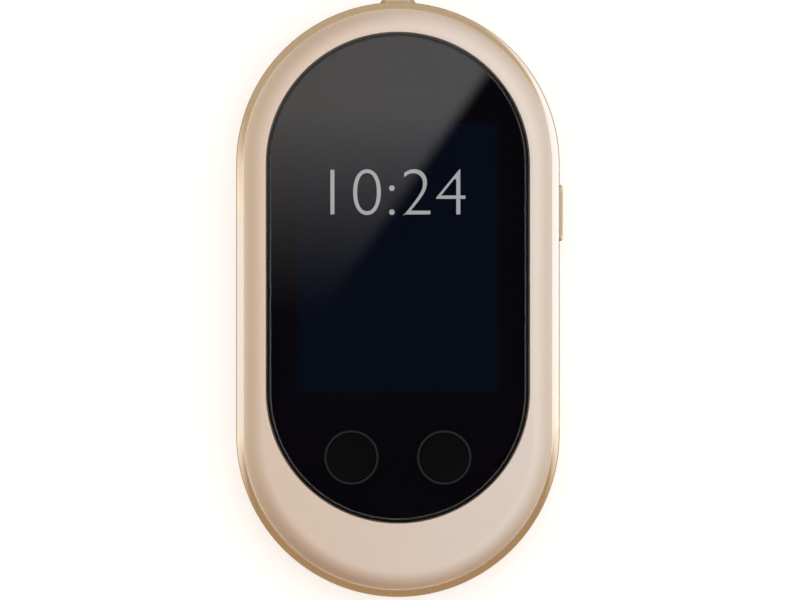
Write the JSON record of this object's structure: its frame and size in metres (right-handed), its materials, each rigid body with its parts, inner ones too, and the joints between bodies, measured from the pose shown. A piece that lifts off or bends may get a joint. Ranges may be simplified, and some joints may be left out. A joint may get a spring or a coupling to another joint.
{
  "type": "handheld translator",
  "caption": "Flat pocket translator with fully rounded ends, a black glass touch window, round talk buttons below the display, a power key, a volume rocker and a sliding card tray.",
  "frame": {"origin": "centre of the flat back that the device lies on", "axes": "+X to the right of the display, +Y towards the top end of the device, +Z out of the front glass"},
  "size_m": [0.0604, 0.1104, 0.0156],
  "materials": {
    "bezel_champagne": "satin metallic lacquer on moulded plastic",
    "frame_champagne": "glossy metallic lacquer on moulded plastic",
    "cover_champagne": "satin metallic lacquer on moulded plastic",
    "key_champagne": "glossy metallic lacquer on moulded plastic",
    "trim_black": "moulded, fine matt",
    "cover_glass": "polished",
    "ink_black": "printed",
    "adhesive": "clear film",
    "display_panel": "laminated glass and film",
    "backlight_white": "moulded frame and light guide",
    "stamped_steel": "stamped and plated",
    "screw_steel": "blackened",
    "shield_steel": "tin plated",
    "flex_amber": "polyimide film",
    "connector_cream": "moulded",
    "board_green": "solder mask",
    "chip_black": "moulded epoxy",
    "switch_body": "moulded",
    "plunger_grey": "moulded",
    "tongue_black": "moulded",
    "contact_gold": "gold plated",
    "battery_foil": "laminated foil pouch",
    "boot_rubber": "moulded",
    "antenna_copper": "printed copper",
    "ring_dark": "anodised, satin",
    "button_black": "fine satin",
    "speaker_black": "moulded",
    "mesh_black": "woven"
  },
  "bodies": {
    "housing": {"battery": "battery_foil", "battery_connector": "connector_cream", "battery_flex": "flex_amber", "battery_tapes": "adhesive", "board_screws": "screw_steel", "bottom_mic_boot": "boot_rubber", "bottom_microphone": "shield_steel", "card_socket": "shield_steel", "cellular_antenna": "antenna_copper", "cover_glass": "cover_glass", "display_backlight": "backlight_white", "display_connector": "connector_cream", "display_flex": "flex_amber", "display_panel": "display_panel", "display_support_plate": "stamped_steel", "front_bezel": "bezel_champagne", "glass_adhesive": "adhesive", "glass_ink_mask": "ink_black", "glass_trim_ring": "trim_black", "left_button_ring": "ring_dark", "left_button_switch": "switch_body", "left_speaker": "speaker_black", "left_speaker_mesh": "mesh_black", "main_board": "board_green", "mid_frame": "frame_champagne", "optical_adhesive": "adhesive", "power_key_switch": "switch_body", "processor_chip": "chip_black", "processor_shield": "shield_steel", "radio_chip": "chip_black", "radio_shield": "shield_steel", "rear_cover": "cover_champagne", "right_button_ring": "ring_dark", "right_button_switch": "switch_body", "right_speaker": "speaker_black", "right_speaker_mesh": "mesh_black", "support_plate_screws": "screw_steel", "top_mic_boot": "boot_rubber", "top_microphone": "shield_steel", "usb_contacts": "contact_gold", "usb_socket_shell": "stamped_steel", "usb_socket_tongue": "tongue_black", "volume_down_switch": "switch_body", "volume_rocker_pin": "screw_steel", "volume_up_switch": "switch_body", "wireless_antenna": "antenna_copper"},
    "left_button": {"left_talk_button": "button_black", "left_button_plunger": "plunger_grey"},
    "right_button": {"right_talk_button": "button_black", "right_button_plunger": "plunger_grey"},
    "power_key": {"power_key": "key_champagne", "power_key_plunger": "plunger_grey"},
    "volume_rocker": {"volume_rocker": "key_champagne"},
    "card_tray": {"card_tray": "key_champagne"}
  },
  "joints": [
    {"name": "left_button_press", "type": "slide", "parent": "housing", "child": "left_button", "axis": [0, 0, -1], "range_m": [0, 0.00035], "stiffness_N_per_m": 2000},
    {"name": "right_button_press", "type": "slide", "parent": "housing", "child": "right_button", "axis": [0, 0, -1], "range_m": [0, 0.00035], "stiffness_N_per_m": 2000},
    {"name": "power_key_press", "type": "slide", "parent": "housing", "child": "power_key", "axis": [0, -1, 0], "range_m": [0, 0.0003], "stiffness_N_per_m": 2000},
    {"name": "volume_rocker_tilt", "type": "hinge", "parent": "housing", "child": "volume_rocker", "pos_m": [0.0271, 0.016, 0.00725], "axis": [0, 0, 1], "range_deg": [-3, 3], "stiffness_Nm_per_rad": 0.15},
    {"name": "card_tray_slide", "type": "slide", "parent": "housing", "child": "card_tray", "axis": [-1, 0, 0], "range_m": [0, 0.016]}
  ]
}
